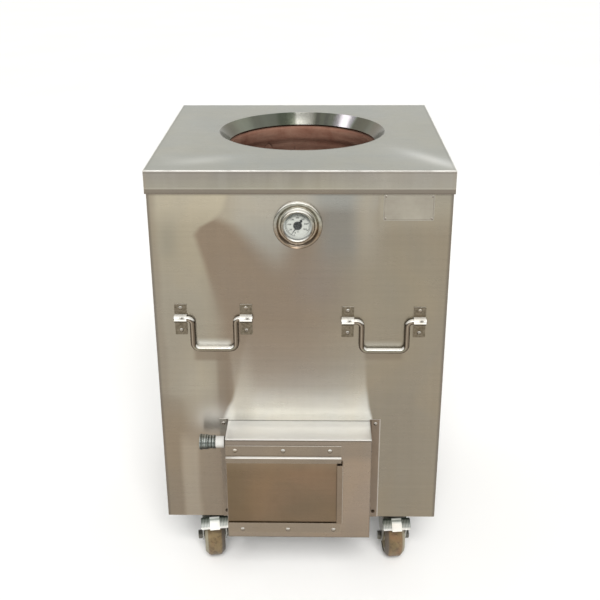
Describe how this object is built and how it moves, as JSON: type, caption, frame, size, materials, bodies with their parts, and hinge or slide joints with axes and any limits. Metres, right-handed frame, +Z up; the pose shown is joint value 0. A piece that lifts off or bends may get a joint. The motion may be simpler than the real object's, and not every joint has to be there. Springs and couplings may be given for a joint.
{
  "type": "tandoor oven",
  "caption": "Free-standing square stainless gas tandoor: clay pot under a round top mouth, burner box with sliding door, drop handles, thermometer and swivel casters with brakes.",
  "frame": {"origin": "bottom centre of the overall box, on the floor under the casters", "axes": "+Z up, +X to the right seen from the front, -Y is the front, where the burner box, handles and thermometer are"},
  "size_m": [0.6096, 0.696, 0.9398],
  "materials": {
    "stainless_satin": "satin",
    "stainless_door": "satin",
    "stainless_bright": "polished",
    "chrome_trim": "polished",
    "galvanised_steel": "matte",
    "fired_clay": "matte",
    "mineral_wool": "matte",
    "heat_blued_steel": "matte",
    "stainless_fastener": "satin",
    "bare_plate": "satin",
    "dial_white": "matte",
    "pointer_black": "satin",
    "gauge_glass": "gloss",
    "zinc_plated_steel": "satin",
    "caster_tyre": "satin",
    "caster_core": "satin",
    "plated_fitting": "satin",
    "gas_pipe_steel": "satin",
    "valve_brass": "satin",
    "copper_line": "satin",
    "burner_iron": "matte",
    "knob_black": "satin",
    "button_red": "gloss"
  },
  "bodies": {
    "cabinet": {"base_pan": "galvanised_steel", "burner": "burner_iron", "burner_box": "stainless_satin", "caster_bolts": "zinc_plated_steel", "caster_plates": "zinc_plated_steel", "clay_pot": "fired_clay", "door_rails": "stainless_door", "flame_spreader": "heat_blued_steel", "frame": "galvanised_steel", "front_panel": "stainless_satin", "gas_cock": "valve_brass", "gas_inlet_coupling": "plated_fitting", "gas_nipple": "plated_fitting", "gas_pipe": "gas_pipe_steel", "gas_union_nut": "plated_fitting", "gauge_case": "galvanised_steel", "gauge_dial": "dial_white", "gauge_flange": "chrome_trim", "gauge_lens": "gauge_glass", "gauge_ring_nut": "galvanised_steel", "gauge_stem": "stainless_fastener", "handle_saddles": "stainless_bright", "insulation": "mineral_wool", "kingpins": "zinc_plated_steel", "left_panel": "stainless_satin", "mouth_collar": "stainless_bright", "nameplate": "bare_plate", "panel_screws": "stainless_fastener", "pilot_burner": "stainless_fastener", "pot_shelf": "galvanised_steel", "rear_panel": "stainless_satin", "right_panel": "stainless_satin", "rivets": "stainless_fastener", "safety_valve": "valve_brass", "thermocouple": "copper_line", "top_cover": "stainless_satin"},
    "access_door": {"sliding_door": "stainless_door"},
    "left_handle": {"handle_left": "stainless_bright"},
    "right_handle": {"handle_right": "stainless_bright"},
    "pointer": {"gauge_pointer": "pointer_black"},
    "knob": {"cock_knob": "knob_black"},
    "button": {"reset_button": "button_red"},
    "caster_front_left": {"fork_front_left": "zinc_plated_steel", "axle_front_left": "zinc_plated_steel"},
    "wheel_front_left": {"tyre_front_left": "caster_tyre", "hub_front_left": "caster_core"},
    "brake_front_left": {"brake_pedal_front_left": "zinc_plated_steel"},
    "caster_front_right": {"fork_front_right": "zinc_plated_steel", "axle_front_right": "zinc_plated_steel"},
    "wheel_front_right": {"tyre_front_right": "caster_tyre", "hub_front_right": "caster_core"},
    "brake_front_right": {"brake_pedal_front_right": "zinc_plated_steel"},
    "caster_rear_left": {"fork_rear_left": "zinc_plated_steel", "axle_rear_left": "zinc_plated_steel"},
    "wheel_rear_left": {"tyre_rear_left": "caster_tyre", "hub_rear_left": "caster_core"},
    "caster_rear_right": {"fork_rear_right": "zinc_plated_steel", "axle_rear_right": "zinc_plated_steel"},
    "wheel_rear_right": {"tyre_rear_right": "caster_tyre", "hub_rear_right": "caster_core"}
  },
  "joints": [
    {"name": "door_slide", "type": "slide", "parent": "cabinet", "child": "access_door", "axis": [1, 0, 0], "range_m": [0, 0.15]},
    {"name": "handle_left_swing", "type": "hinge", "parent": "cabinet", "child": "left_handle", "pos_m": [-0.18, -0.2651, 0.6255], "axis": [-1, 0, 0], "range_deg": [0, 180]},
    {"name": "handle_right_swing", "type": "hinge", "parent": "cabinet", "child": "right_handle", "pos_m": [0.17, -0.2651, 0.6205], "axis": [-1, 0, 0], "range_deg": [0, 180]},
    {"name": "gauge_pointer_turn", "type": "hinge", "parent": "cabinet", "child": "pointer", "pos_m": [-0.0037, -0.2642, 0.828], "axis": [0, 1, 0], "range_deg": [0, 270], "stiffness_Nm_per_rad": 0.002},
    {"name": "cock_knob_turn", "type": "hinge", "parent": "cabinet", "child": "knob", "pos_m": [0, -0.32, 0.204], "axis": [0, -1, 0], "range_deg": [0, 90]},
    {"name": "reset_button_press", "type": "slide", "parent": "cabinet", "child": "button", "axis": [0, 1, 0], "range_m": [0, 0.005], "stiffness_N_per_m": 600},
    {"name": "caster_front_left_swivel", "type": "hinge", "parent": "cabinet", "child": "caster_front_left", "pos_m": [-0.21, -0.1788, 0.11], "axis": [0, 0, 1], "continuous": true},
    {"name": "wheel_front_left_roll", "type": "hinge", "parent": "caster_front_left", "child": "wheel_front_left", "pos_m": [-0.20437, -0.21436, 0.05], "axis": [0.9877, 0.1564, 0], "continuous": true},
    {"name": "brake_front_left_press", "type": "hinge", "parent": "caster_front_left", "child": "brake_front_left", "pos_m": [-0.2003, -0.24004, 0.104], "axis": [0.9877, 0.1564, 0], "range_deg": [0, 20]},
    {"name": "caster_front_right_swivel", "type": "hinge", "parent": "cabinet", "child": "caster_front_right", "pos_m": [0.21, -0.1788, 0.11], "axis": [0, 0, 1], "continuous": true},
    {"name": "wheel_front_right_roll", "type": "hinge", "parent": "caster_front_right", "child": "wheel_front_right", "pos_m": [0.21314, -0.21466, 0.05], "axis": [0.9962, 0.0872, 0], "continuous": true},
    {"name": "brake_front_right_press", "type": "hinge", "parent": "caster_front_right", "child": "brake_front_right", "pos_m": [0.2154, -0.24056, 0.104], "axis": [0.9962, 0.0872, 0], "range_deg": [0, 20]},
    {"name": "caster_rear_left_swivel", "type": "hinge", "parent": "cabinet", "child": "caster_rear_left", "pos_m": [-0.21, 0.2652, 0.11], "axis": [0, 0, 1], "continuous": true},
    {"name": "wheel_rear_left_roll", "type": "hinge", "parent": "caster_rear_left", "child": "wheel_rear_left", "pos_m": [-0.21376, 0.2294, 0.05], "axis": [0.9945, -0.1045, 0], "continuous": true},
    {"name": "caster_rear_right_swivel", "type": "hinge", "parent": "cabinet", "child": "caster_rear_right", "pos_m": [0.21, 0.2652, 0.11], "axis": [0, 0, 1], "continuous": true},
    {"name": "wheel_rear_right_roll", "type": "hinge", "parent": "caster_rear_right", "child": "wheel_rear_right", "pos_m": [0.21314, 0.22934, 0.05], "axis": [0.9962, 0.0872, 0], "continuous": true}
  ]
}
